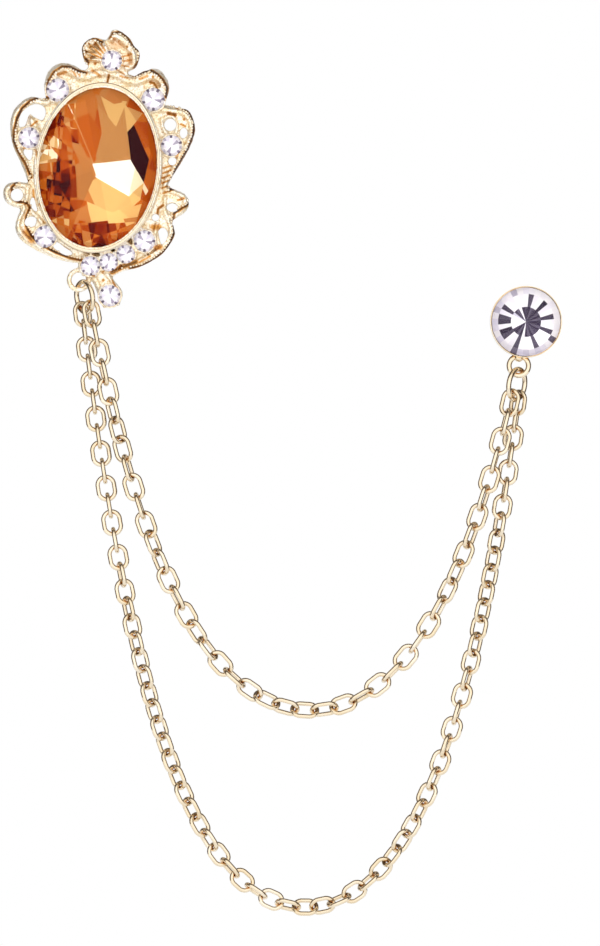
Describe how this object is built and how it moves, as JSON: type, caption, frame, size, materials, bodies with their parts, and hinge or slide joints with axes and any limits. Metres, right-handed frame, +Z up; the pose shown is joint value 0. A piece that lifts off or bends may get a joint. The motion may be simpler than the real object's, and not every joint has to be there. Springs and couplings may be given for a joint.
{
  "type": "lapel chain",
  "caption": "Lapel chain: pierced scroll brooch with an oval faceted stone, joined by two hanging chain strands to a round crystal stud.",
  "frame": {"origin": "on the pin stem at the back of the brooch, in the middle of the plate, where the cloth holds it", "axes": "+Z up, -Y towards the viewer of the worn piece, +X from the brooch to the stud"},
  "size_m": [0.085, 0.0149, 0.1348],
  "materials": {
    "cast_gold": "pale gold plate over a granular satin casting",
    "polished_gold": "polished pale gold plate",
    "amber_glass": "faceted amber glass with a foiled back",
    "clear_crystal": "faceted clear glass with a foiled back",
    "plain_steel": "plain"
  },
  "bodies": {
    "root": {"brooch_frame": "cast_gold", "oval_stone": "amber_glass", "top_crystal": "clear_crystal", "left_shoulder_crystal": "clear_crystal", "right_shoulder_crystal": "clear_crystal", "left_crystal": "clear_crystal", "right_crystal": "clear_crystal", "lower_left_crystal": "clear_crystal", "arc_crystal_1": "clear_crystal", "arc_crystal_2": "clear_crystal", "arc_crystal_3": "clear_crystal", "arc_crystal_4": "clear_crystal", "tip_crystal": "clear_crystal", "brooch_pin": "plain_steel", "brooch_ring": "polished_gold", "outer_chain": "polished_gold", "inner_chain": "polished_gold", "stud_ring": "polished_gold", "stud_cup": "polished_gold", "stud_crystal": "clear_crystal", "stud_post": "plain_steel"}
  },
  "joints": []
}
